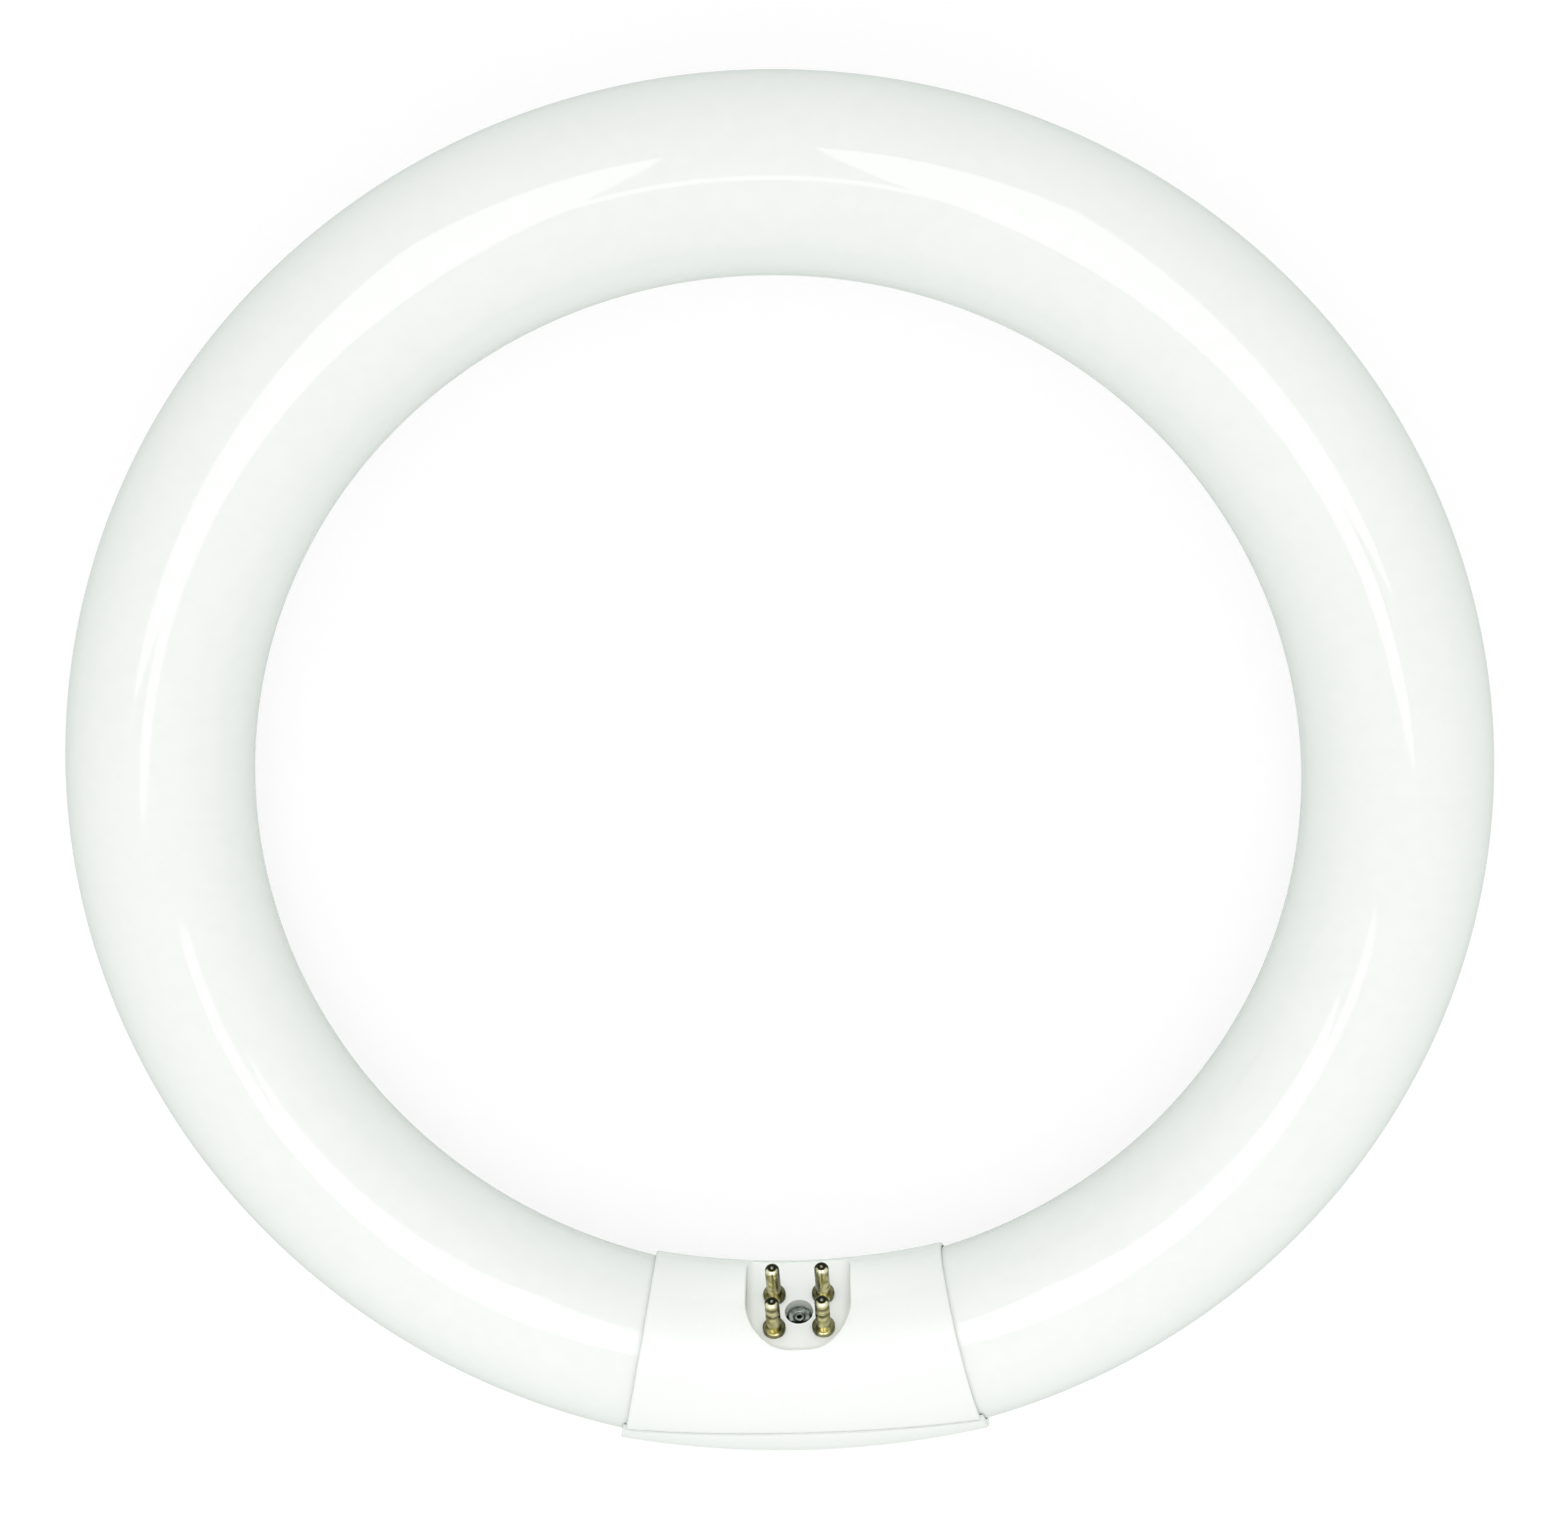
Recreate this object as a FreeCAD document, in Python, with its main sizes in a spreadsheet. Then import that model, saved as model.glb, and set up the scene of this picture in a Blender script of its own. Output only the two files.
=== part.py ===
# Circular fluorescent lamp with a two-part moulded base and four contact pins, in millimetres.
# The ring lies in the XY plane with its centre at the origin. The base bridges the two glass ends
# at -Y, and its pins lean from +Z towards the ring's centre.
import FreeCAD, Part
import Sketcher
import math
import os

from FreeCAD import Placement, Rotation, Vector

SIZES = {
    # Glass ring, with a flared stem and a sealed exhaust tube in each end
    "ring_outer_diameter": 216.0,
    "tube_diameter": 28.0,
    "end_edge_round": 1.6,
    "stem_ring_width": 5.3,
    "stem_depth": 14.0,
    "stem_throat_margin": 1.2,
    "exhaust_diameter": 3.8,
    "exhaust_reach": 4.5,
    # Base shells, which bend a little less than the ring
    "base_length": 53.5,
    "base_bend_extra": 27.3,
    "base_inset": 0.7,
    "base_wall": 0.75,
    "tube_clearance": 0.15,
    "cover_lip": 0.3,
    "cover_overhang": 0.5,
    "rim_round": 0.4,
    "parting_groove": 0.22,
    # Ribs that stop the glass ends
    "rib_thickness": 1.2,
    "rib_width": 3.8,
    "rib_clearance": 0.15,
    "rib_room": 2.5,
    # Sunk platform that carries the pins, open towards the ring's centre
    "pin_lean": 66.0,
    "platform_depth": 3.5,
    "platform_thickness": 1.8,
    "platform_side_margin": 2.59,
    "platform_foot_margin": 2.78,
    "platform_foot_width": 2.4,
    "platform_wall": 1.2,
    "platform_floor_round": 1.4,
    "platform_rim_round": 0.3,
    # Contact pins
    "pin_spacing_along": 7.92,
    "pin_spacing_across": 6.35,
    "pin_diameter": 2.35,
    "pin_length": 7.5,
    "pin_tip_round": 0.75,
    "pin_fit": 0.04,
    "pin_tip_wall": 0.6,
    "pin_dimple_diameter": 0.7,
    "pin_dimple_depth": 0.4,
    "collar_overhang": 0.675,
    "collar_thickness": 0.9,
    "collar_round": 0.3,
    "flare_overhang": 0.425,
    "flare_thickness": 0.5,
    # Hollow rivet that clamps the two shells
    "rivet_diameter": 3.0,
    "rivet_fit": 0.04,
    "rivet_wall": 0.75,
    "rivet_bore_depth": 3.5,
    "rivet_roll_overhang": 0.7,
    "rivet_roll_height": 0.7,
    "rivet_roll_round": 0.6,
    "rivet_roll_sink": 2.0,
    "rivet_roll_clearance": 0.1,
    "rivet_foot_overhang": 1.1,
    "rivet_foot_thickness": 0.7,
    "rivet_foot_sink": 1.0,
    "rivet_foot_clearance": 0.3,
    "post_wall": 1.1,
    # Lead wires from the glass to the pins
    "wire_diameter": 0.6,
    "wire_clearance": 0.2,
    "wire_exhaust_gap": 0.8,
    "wire_level": -1.0,
    "wire_root_gap": 0.02,
    "wire_bend_radius": 2.5,
    "wire_end_gap": 0.3,
}

# Sizes that several sub-parts share, worked out from the sheet
RING_RADIUS = "((Sizes.ring_outer_diameter - Sizes.tube_diameter) / 2)"
TUBE_RADIUS = "(Sizes.tube_diameter / 2)"
SEAT_RADIUS = f"({TUBE_RADIUS} + Sizes.tube_clearance)"
BASE_RADIUS = f"({SEAT_RADIUS} + Sizes.base_wall)"
COVER_RADIUS = f"({BASE_RADIUS} + Sizes.cover_lip)"
BASE_BEND = f"({RING_RADIUS} + Sizes.base_bend_extra)"
BASE_HALF_ANGLE = f"(Sizes.base_length / 2 / {BASE_BEND} * 180 / pi)"
COVER_HALF_ANGLE = f"((Sizes.base_length / 2 + Sizes.cover_overhang) / {BASE_BEND} * 180 / pi)"
PIN_RADIUS = "(Sizes.pin_diameter / 2)"
PIN_BORE_RADIUS = "(Sizes.wire_diameter / 2 + Sizes.wire_clearance)"
PIN_BORE_END = "(Sizes.pin_length - Sizes.pin_dimple_depth - Sizes.pin_tip_wall)"
COLLAR_RADIUS = f"({PIN_RADIUS} + Sizes.collar_overhang)"
PLATFORM_HEIGHT = f"({BASE_RADIUS} - Sizes.platform_depth)"
PLATFORM_UNDERSIDE = f"({PLATFORM_HEIGHT} - Sizes.platform_thickness)"
PLATFORM_HALF_WIDTH = f"(Sizes.pin_spacing_along / 2 + {COLLAR_RADIUS} + Sizes.platform_side_margin)"
PLATFORM_REACH = f"(Sizes.pin_spacing_across / 2 + {COLLAR_RADIUS} + Sizes.platform_foot_margin)"
PLATFORM_HALF_FOOT = "(Sizes.platform_foot_width / 2)"
CHAMBER_HALF_LENGTH = f"({PLATFORM_HALF_WIDTH} + Sizes.platform_wall + Sizes.rib_room)"
RIB_FACE = f"({CHAMBER_HALF_LENGTH} + Sizes.rib_thickness)"
GLASS_END = f"({RIB_FACE} + Sizes.rib_clearance)"
RIVET_RADIUS = "(Sizes.rivet_diameter / 2)"
RIVET_HOLE_RADIUS = f"({RIVET_RADIUS} + Sizes.rivet_fit)"
ROLL_RADIUS = f"({RIVET_RADIUS} + Sizes.rivet_roll_overhang)"
ROLL_SEAT_RADIUS = f"({ROLL_RADIUS} + Sizes.rivet_roll_clearance)"
ROLL_SEAT_HEIGHT = f"({PLATFORM_HEIGHT} - Sizes.rivet_roll_sink)"
RIVET_FOOT_RADIUS = f"({RIVET_RADIUS} + Sizes.rivet_foot_overhang)"
RIVET_SEAT_RADIUS = f"({RIVET_FOOT_RADIUS} + Sizes.rivet_foot_clearance)"
RIVET_SEAT_HEIGHT = f"({COVER_RADIUS} - Sizes.rivet_foot_sink)"
WIRE_OFFSET = "(Sizes.exhaust_diameter / 2 + Sizes.wire_exhaust_gap + Sizes.wire_diameter / 2)"

AXIS_X = Vector(1, 0, 0)
AXIS_Z = Vector(0, 0, 1)
SIDES = {"left": -1, "right": 1}
ROWS = {"outer": -1, "inner": 1}
TOLERANCE = 1e-4

doc = FreeCAD.newDocument("circular_lamp")
sheet = doc.addObject("Spreadsheet::Sheet", "Sizes")
for line, (size_name, value) in enumerate(SIZES.items(), start=1):
    sheet.set(f"A{line}", size_name)
    sheet.set(f"B{line}", str(value))
    sheet.setAlias(f"B{line}", size_name)
doc.recompute()


def size(expression):
    """Value of an expression of the sheet's sizes, as a plain number."""
    return float(sheet.evalExpression(expression))


def bend_angle(half_length, bend_radius):
    """Expression of the angle in degrees, from -Y, that reaches a distance along X."""
    return f"(asin({half_length} / {bend_radius}) / 1 deg)"


# The base's own frame: X along the tube, Z along the pins, Y towards the ring's centre and down
BASE_CENTRE = Vector(0, size(f"Sizes.base_inset - {RING_RADIUS}"), 0)
BASE_FRAME = Placement(BASE_CENTRE, Rotation(AXIS_X, -size("Sizes.pin_lean")))
BEND_CENTRE = BASE_CENTRE + Vector(0, size(BASE_BEND), 0)


def in_base(x=0.0, y=0.0, z=0.0):
    """Placement at a point of the base's own frame."""
    return BASE_FRAME.multiply(Placement(Vector(x, y, z), Rotation()))


def height_in_base(point):
    """Height of a point over the parting plane, along the pins."""
    return BASE_FRAME.inverse().multVec(point).z


def pin_place(side, row):
    """Foot of a contact pin, as a point of the base's own frame."""
    return Vector(
        SIDES[side] * size("Sizes.pin_spacing_along / 2"),
        ROWS[row] * size("Sizes.pin_spacing_across / 2"),
        size(PLATFORM_HEIGHT),
    )


def glass_end_frame(side):
    """Placement of a glass end, with Z pointing out of the glass along the tube."""
    angle = math.radians(size(bend_angle(GLASS_END, RING_RADIUS)))
    radius = size(RING_RADIUS)
    place = Vector(SIDES[side] * radius * math.sin(angle), -radius * math.cos(angle), 0)
    outward = Vector(-SIDES[side] * math.cos(angle), -math.sin(angle), 0)
    return Placement(place, Rotation(AXIS_Z, outward))


def add(kind, name, placement=None, **expressions):
    """New document object with its properties bound to expressions of the sheet's sizes."""
    obj = doc.addObject(kind, name)
    if placement is not None:
        obj.Placement = placement
    for prop, expression in expressions.items():
        obj.setExpression(prop, expression)
    return obj


def combine(kind, name, shapes):
    """Fuse of any number of shapes, or the cut or common of two."""
    obj = doc.addObject(kind, name)
    if kind == "Part::MultiFuse":
        obj.Shapes = shapes
        obj.Refine = True
    else:
        obj.Base, obj.Tool = shapes
    return obj


def bend(name, bend_radius, section_radius, start, end, centre=Vector()):
    """Piece of a round bar bent about an axis along Z, between two angles measured from -Y."""
    sweep = f"({end}) - ({start})"
    obj = add("Part::Torus", name, Radius1=bend_radius, Radius2=section_radius, Angle3=sweep)
    obj.Placement = Placement(centre, Rotation(AXIS_Z, size(start) - 90))
    return obj


def ease_edges(kind, name, base, amount, chosen):
    """Fillet or chamfer of one amount on every edge that the chosen test picks."""
    doc.recompute()
    numbers = [number for number, edge in enumerate(base.Shape.Edges, start=1) if chosen(edge)]
    obj = doc.addObject(kind, name)
    obj.Base = base
    obj.Edges = [(number, amount, amount) for number in numbers]
    return obj


def middle_of(edge):
    """Point halfway along an edge."""
    return edge.valueAt((edge.FirstParameter + edge.LastParameter) / 2)


def on_base_skin(edge):
    """Whether an edge lies on the pin shell's round outside."""
    point = middle_of(edge) - BEND_CENTRE
    from_centre_line = math.hypot(math.hypot(point.x, point.y) - size(BASE_BEND), point.z)
    return abs(from_centre_line - size(BASE_RADIUS)) < TOLERANCE


def is_circle_of(radius):
    """Test for an edge that is part of a circle of one radius."""

    def test(edge):
        return isinstance(edge.Curve, Part.Circle) and abs(edge.Curve.Radius - radius) < TOLERANCE

    return test


def outline(sketch, corners):
    """Closed outline, counter-clockwise, with its corners bound to expressions.

    A corner is (x, y), or (x, y, radius) where the side that leaves it is an arc that turns left.
    """
    points = [Vector(size(corner[0]), size(corner[1]), 0) for corner in corners]
    for index, corner in enumerate(corners):
        start = points[index]
        end = points[(index + 1) % len(points)]
        if len(corner) == 2:
            sketch.addGeometry(Part.LineSegment(start, end))
            continue
        radius = size(corner[2])
        chord = end - start
        inward = Vector(-chord.y, chord.x, 0).normalize()
        rise = math.sqrt(max(radius**2 - (chord.Length / 2) ** 2, 0))
        centre = (start + end) / 2 + inward * rise
        first = math.atan2(start.y - centre.y, start.x - centre.x)
        last = math.atan2(end.y - centre.y, end.x - centre.x)
        sketch.addGeometry(Part.ArcOfCircle(Part.Circle(centre, AXIS_Z, radius), first, last))
    for index, corner in enumerate(corners):
        after = (index + 1) % len(corners)
        sketch.addConstraint(Sketcher.Constraint("Coincident", index, 2, after, 1))
        for kind, expression, value in (
            ("DistanceX", corner[0], points[index].x),
            ("DistanceY", corner[1], points[index].y),
        ):
            number = sketch.addConstraint(Sketcher.Constraint(kind, index, 1, value))
            sketch.setExpression(f"Constraints[{number}]", expression)
        if len(corner) == 3:
            number = sketch.addConstraint(Sketcher.Constraint("Radius", index, size(corner[2])))
            sketch.setExpression(f"Constraints[{number}]", corner[2])


def turned(label, corners, placement):
    """Body turned about its own Z axis from a half section of (radius, height) corners."""
    body = doc.addObject("PartDesign::Body", label)
    sketch = body.newObject("Sketcher::SketchObject", f"{label}_section")
    plane = next(item for item in body.Origin.OriginFeatures if item.Role == "XZ_Plane")
    sketch.AttachmentSupport = [(plane, "")]
    sketch.MapMode = "FlatFace"
    outline(sketch, corners)
    revolution = body.newObject("PartDesign::Revolution", f"{label}_turning")
    revolution.Profile = sketch
    revolution.ReferenceAxis = (sketch, ["V_Axis"])
    revolution.Angle = 360
    body.Placement = placement
    return body


def make_glass_tube():
    """Sealed glass ring with the flared stem and the sealed exhaust tip of each end."""
    end = bend_angle(GLASS_END, RING_RADIUS)
    ring = bend("glass_ring", RING_RADIUS, TUBE_RADIUS, end, f"360 - {end}")
    end_edges = is_circle_of(size(TUBE_RADIUS))
    rounded = ease_edges("Part::Fillet", "glass_ring_rounded", ring, size("Sizes.end_edge_round"), end_edges)
    flares = []
    tips = []
    for side in SIDES:
        frame = glass_end_frame(side)
        bottom = frame.multiply(Placement(Vector(0, 0, -size("Sizes.stem_depth")), Rotation()))
        tip = frame.multiply(Placement(Vector(0, 0, size("Sizes.exhaust_reach")), Rotation()))
        flares.append(
            add(
                "Part::Cone",
                f"stem_flare_{side}",
                bottom,
                Radius1=f"{WIRE_OFFSET} + Sizes.wire_diameter / 2 + Sizes.stem_throat_margin",
                Radius2=f"{TUBE_RADIUS} - Sizes.stem_ring_width",
                Height="Sizes.stem_depth",
            )
        )
        tips.append(
            add(
                "Part::Cylinder",
                f"exhaust_tube_{side}",
                bottom,
                Radius="Sizes.exhaust_diameter / 2",
                Height="Sizes.stem_depth + Sizes.exhaust_reach",
            )
        )
        tips.append(add("Part::Sphere", f"exhaust_tip_{side}", tip, Radius="Sizes.exhaust_diameter / 2"))
    stems = combine("Part::MultiFuse", "stem_flares", flares)
    open_ends = combine("Part::Cut", "glass_open_ends", [rounded, stems])
    return combine("Part::MultiFuse", "glass_tube", [open_ends] + tips)


def make_hollow():
    """Space inside the base: a seat for each glass end, and a chamber between the stop ribs."""
    chamber = bend_angle(CHAMBER_HALF_LENGTH, BASE_BEND)
    rib = bend_angle(RIB_FACE, RING_RADIUS)
    past_mouth = f"2 * {BASE_HALF_ANGLE}"
    throat_radius = f"{TUBE_RADIUS} - Sizes.rib_width"
    return combine(
        "Part::MultiFuse",
        "base_hollow",
        [
            bend("seat_left", RING_RADIUS, SEAT_RADIUS, f"-{past_mouth}", f"-{rib}"),
            bend("throats", RING_RADIUS, throat_radius, f"-{past_mouth}", past_mouth),
            bend("chamber", BASE_BEND, SEAT_RADIUS, f"-{chamber}", chamber, BEND_CENTRE),
            bend("seat_right", RING_RADIUS, SEAT_RADIUS, rib, past_mouth),
        ],
    )


def make_slab(name, bottom, thickness):
    """Slab square to the pins, wider than the base, from one height over the parting plane."""
    length = "2 * Sizes.base_length"
    width = f"4 * {COVER_RADIUS}"
    corner = in_base(-size(length) / 2, -size(width) / 2, bottom)
    return add("Part::Box", name, corner, Length=length, Width=width, Height=thickness)


def make_half(name, section_radius, half_angle, side):
    """Solid half of the base, on the pins' side (1) or the far side (-1) of the parting plane."""
    bar = bend(f"{name}_bar", BASE_BEND, section_radius, f"-{half_angle}", half_angle, BEND_CENTRE)
    depth = f"2 * {COVER_RADIUS}"
    space = make_slab(f"{name}_space", 0 if side > 0 else -size(depth), depth)
    half = combine("Part::Common", f"{name}_half", [bar, space])
    mouth_edges = is_circle_of(size(section_radius))
    return ease_edges("Part::Fillet", f"{name}_rounded", half, size("Sizes.rim_round"), mouth_edges)


def make_parting_groove():
    """Narrow step round the pin shell's outside, next to the parting plane."""
    past_mouth = f"2 * {BASE_HALF_ANGLE}"
    core_radius = f"({BASE_RADIUS} - Sizes.parting_groove)"
    core = bend("parting_groove_core", BASE_BEND, core_radius, f"-{past_mouth}", past_mouth, BEND_CENTRE)
    slab = make_slab("parting_groove_slab", 0, "Sizes.parting_groove")
    return combine("Part::Cut", "parting_groove", [slab, core])


def make_platform_block(name, margin, height):
    """Prism along the pins with the platform's U outline, widened by a margin."""
    half_width = f"({PLATFORM_HALF_WIDTH} + {margin})"
    corner_radius = f"({half_width} - {PLATFORM_HALF_FOOT})"
    foot = f"(-{PLATFORM_REACH} - {margin})"
    open_end = f"2 * {BASE_RADIUS}"
    sketch = doc.addObject("Sketcher::SketchObject", f"{name}_outline")
    sketch.Placement = in_base(z=size(height))
    outline(
        sketch,
        [
            (f"-{PLATFORM_HALF_FOOT}", foot),
            (PLATFORM_HALF_FOOT, foot, corner_radius),
            (half_width, f"{foot} + {corner_radius}"),
            (half_width, open_end),
            (f"-{half_width}", open_end),
            (f"-{half_width}", f"{foot} + {corner_radius}", corner_radius),
        ],
    )
    block = add("Part::Extrusion", name, LengthFwd=BASE_RADIUS)
    block.Base = sketch
    block.DirMode = "Normal"
    block.Solid = True
    return block


def floor_round():
    """Radius between the pocket's floor and walls, limited by the room beside the collars."""
    corner_radius = size(f"{PLATFORM_HALF_WIDTH} - {PLATFORM_HALF_FOOT}")
    along = size(f"Sizes.pin_spacing_along / 2 - {PLATFORM_HALF_FOOT}")
    across = size(f"{PLATFORM_REACH} - Sizes.pin_spacing_across / 2") - corner_radius
    room = corner_radius - math.hypot(along, across) - size(COLLAR_RADIUS)
    return min(size("Sizes.platform_floor_round"), room)


def make_platform_pocket():
    """Space over the platform, with a round between its floor and its walls."""
    block = make_platform_block("platform_pocket", "0", PLATFORM_HEIGHT)
    floor = size(PLATFORM_HEIGHT)
    open_end = BASE_FRAME.multVec(Vector(0, size(f"2 * {BASE_RADIUS}"), floor))

    def is_floor_edge(edge):
        on_floor = all(abs(height_in_base(vertex.Point) - floor) < TOLERANCE for vertex in edge.Vertexes)
        return on_floor and edge.distToShape(Part.Vertex(open_end))[0] > TOLERANCE

    return ease_edges("Part::Fillet", "platform_pocket_rounded", block, floor_round(), is_floor_edge)


def make_pin_shell(hollow):
    """Shell on the pins' side, with the sunk platform and the post that seats the rivet's head."""
    half = make_half("pin_shell", BASE_RADIUS, BASE_HALF_ANGLE, 1)
    post = add(
        "Part::Cylinder",
        "pin_shell_post",
        in_base(),
        Radius=f"{ROLL_SEAT_RADIUS} + Sizes.post_wall / 2",
        Height=PLATFORM_HEIGHT,
    )
    platform = make_platform_block("platform_walls", "Sizes.platform_wall", PLATFORM_UNDERSIDE)
    walls = combine("Part::MultiFuse", "pin_shell_walls", [platform, post])
    pocket = make_platform_pocket()
    cuts = [
        combine("Part::Cut", "pin_shell_hollow", [hollow, walls]),
        pocket,
        make_parting_groove(),
        add("Part::Cylinder", "pin_shell_rivet_hole", in_base(), Radius=RIVET_HOLE_RADIUS, Height=BASE_RADIUS),
        add(
            "Part::Cylinder",
            "pin_shell_rivet_seat",
            in_base(z=size(ROLL_SEAT_HEIGHT)),
            Radius=ROLL_SEAT_RADIUS,
            Height="2 * Sizes.rivet_roll_sink",
        ),
    ]
    for side in SIDES:
        for row in ROWS:
            foot = pin_place(side, row)
            cuts.append(
                add(
                    "Part::Cylinder",
                    f"pin_hole_{side}_{row}",
                    in_base(foot.x, foot.y, size(PLATFORM_UNDERSIDE)),
                    Radius=f"{PIN_RADIUS} + Sizes.pin_fit",
                    Height="2 * Sizes.platform_thickness",
                )
            )
    all_cuts = combine("Part::MultiFuse", "pin_shell_cuts", cuts)
    sharp = combine("Part::Cut", "pin_shell_sharp", [half, all_cuts])

    def is_pocket_rim(edge):
        return on_base_skin(edge) and pocket.Shape.distToShape(Part.Vertex(middle_of(edge)))[0] < TOLERANCE

    return ease_edges("Part::Fillet", "base_pin_shell", sharp, size("Sizes.platform_rim_round"), is_pocket_rim)


def make_cover_shell(hollow):
    """Shell on the far side, a little larger, with the post that seats the rivet's foot."""
    half = make_half("cover_shell", COVER_RADIUS, COVER_HALF_ANGLE, -1)
    bottom = in_base(z=-size(COVER_RADIUS))
    post = add(
        "Part::Cylinder",
        "cover_post",
        bottom,
        Radius=f"{RIVET_SEAT_RADIUS} + Sizes.post_wall / 2",
        Height=COVER_RADIUS,
    )
    cuts = [
        combine("Part::Cut", "cover_hollow", [hollow, post]),
        add("Part::Cylinder", "cover_rivet_hole", bottom, Radius=RIVET_HOLE_RADIUS, Height=COVER_RADIUS),
        add(
            "Part::Cylinder",
            "cover_rivet_seat",
            in_base(z=-size(f"{RIVET_SEAT_HEIGHT} + 2 * Sizes.rivet_foot_sink")),
            Radius=RIVET_SEAT_RADIUS,
            Height="2 * Sizes.rivet_foot_sink",
        ),
    ]
    return combine("Part::Cut", "base_cover_shell", [half, combine("Part::MultiFuse", "cover_cuts", cuts)])


def make_pin(side, row):
    """Hollow contact pin, seated by its collar and held by the flare of its tail."""
    flare = f"{PIN_RADIUS} + Sizes.flare_overhang"
    dimple = "Sizes.pin_dimple_diameter / 2"
    under = "-Sizes.platform_thickness"
    tail = f"{under} - Sizes.flare_thickness"
    dimple_floor = "Sizes.pin_length - Sizes.pin_dimple_depth"
    corners = [
        (PIN_BORE_RADIUS, tail),
        (flare, tail),
        (flare, under),
        (PIN_RADIUS, under),
        (PIN_RADIUS, "0"),
        (COLLAR_RADIUS, "0"),
        (COLLAR_RADIUS, "Sizes.collar_thickness - Sizes.collar_round", "Sizes.collar_round"),
        (f"{COLLAR_RADIUS} - Sizes.collar_round", "Sizes.collar_thickness"),
        (PIN_RADIUS, "Sizes.collar_thickness"),
        (PIN_RADIUS, "Sizes.pin_length - Sizes.pin_tip_round", "Sizes.pin_tip_round"),
        (f"{PIN_RADIUS} - Sizes.pin_tip_round", "Sizes.pin_length"),
        (dimple, "Sizes.pin_length"),
        (dimple, dimple_floor),
        ("0", dimple_floor),
        ("0", PIN_BORE_END),
        (PIN_BORE_RADIUS, PIN_BORE_END),
    ]
    foot = pin_place(side, row)
    return turned(f"contact_pin_{side}_{row}", corners, in_base(foot.x, foot.y, foot.z))


def make_rivet():
    """Hollow rivet with a flat foot in the cover and a rolled head sunk in the platform."""
    bore = f"({RIVET_RADIUS} - Sizes.rivet_wall)"
    roll_round = "min(Sizes.rivet_roll_round; Sizes.rivet_roll_height)"
    seat = f"-{RIVET_SEAT_HEIGHT}"
    sole = f"{seat} - Sizes.rivet_foot_thickness"
    crest = f"({ROLL_SEAT_HEIGHT} + Sizes.rivet_roll_height)"
    corners = [
        ("0", sole),
        (RIVET_FOOT_RADIUS, sole),
        (RIVET_FOOT_RADIUS, seat),
        (RIVET_RADIUS, seat),
        (RIVET_RADIUS, ROLL_SEAT_HEIGHT),
        (ROLL_RADIUS, ROLL_SEAT_HEIGHT),
        (ROLL_RADIUS, f"{crest} - {roll_round}", roll_round),
        (f"{ROLL_RADIUS} - {roll_round}", crest),
        (f"{bore} + {roll_round}", crest, roll_round),
        (bore, f"{crest} - {roll_round}"),
        (bore, f"{crest} - Sizes.rivet_bore_depth"),
        ("0", f"{crest} - Sizes.rivet_bore_depth"),
    ]
    return turned("base_rivet", corners, BASE_FRAME)


def make_lead_wire(side, row):
    """Wire from the bottom of the glass stem, round one bend, up into its pin."""
    foot = pin_place(side, row)
    frame = glass_end_frame(side)
    along_tube = frame.Rotation.multVec(AXIS_Z)
    along_pin = BASE_FRAME.Rotation.multVec(AXIS_Z)
    across = along_tube.cross(along_pin).normalize() * SIDES[side] * ROWS[row]
    root = frame.multVec(Vector(0, 0, size("Sizes.wire_root_gap - Sizes.stem_depth")))
    start = root + across * size(WIRE_OFFSET)
    corner = BASE_FRAME.multVec(Vector(foot.x, foot.y, size("Sizes.wire_level")))
    end = BASE_FRAME.multVec(foot + Vector(0, 0, size(f"{PIN_BORE_END} - Sizes.wire_end_gap")))
    arriving = (corner - start).normalize()
    turn = arriving.getAngle(along_pin)
    radius = size("Sizes.wire_bend_radius")
    reach = radius * math.tan(turn / 2)
    bend_start = corner - arriving * reach
    bend_end = corner + along_pin * reach
    to_centre = (along_pin - arriving).normalize()
    middle = corner + to_centre * (radius / math.cos(turn / 2) - radius)
    route = doc.addObject("Part::Feature", f"wire_route_{side}_{row}")
    route.Shape = Part.Wire(
        [
            Part.makeLine(start, bend_start),
            Part.Arc(bend_start, middle, bend_end).toShape(),
            Part.makeLine(bend_end, end),
        ]
    )
    place = Placement(start, Rotation(AXIS_Z, arriving))
    section = add("Part::Circle", f"wire_section_{side}_{row}", place, Radius="Sizes.wire_diameter / 2")
    wire = doc.addObject("Part::Sweep", f"lead_wire_{side}_{row}")
    wire.Sections = [section]
    wire.Spine = (route, ["Edge1", "Edge2", "Edge3"])
    wire.Solid = True
    return wire


def check_and_write(nodes):
    """Stop at any failed object or bad shape, then write one file per sub-part."""
    doc.recompute()
    for obj in doc.Objects:
        if "Invalid" in obj.State or "Error" in obj.State:
            raise RuntimeError(f"{obj.Label} failed: {obj.State}")
    for node in nodes:
        shape = node.Shape
        if shape.isNull() or not shape.isValid() or len(shape.Solids) != 1:
            raise RuntimeError(f"{node.Label} isn't one valid solid")
    os.makedirs("parts", exist_ok=True)
    for node in nodes:
        node.Shape.exportStep(os.path.join("parts", f"{node.Label}.step"))


hollow_space = make_hollow()
lamp = [make_glass_tube(), make_pin_shell(hollow_space), make_cover_shell(hollow_space), make_rivet()]
for pin_side in SIDES:
    for pin_row in ROWS:
        lamp.append(make_pin(pin_side, pin_row))
        lamp.append(make_lead_wire(pin_side, pin_row))
check_and_write(lamp)
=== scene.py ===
"""Dresses a circular fluorescent lamp: milky glass ring, moulded base, brass pins and steel rivet.

Everything is in metres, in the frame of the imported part: the ring lies in the XY plane round the
origin, the base bridges the glass ends at -Y, and the pins lean from +Z towards the ring's centre.
"""

import logging
import math
from dataclasses import dataclass
from enum import Enum

import bmesh
import bpy
from mathutils import Euler, Matrix, Vector


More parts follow.
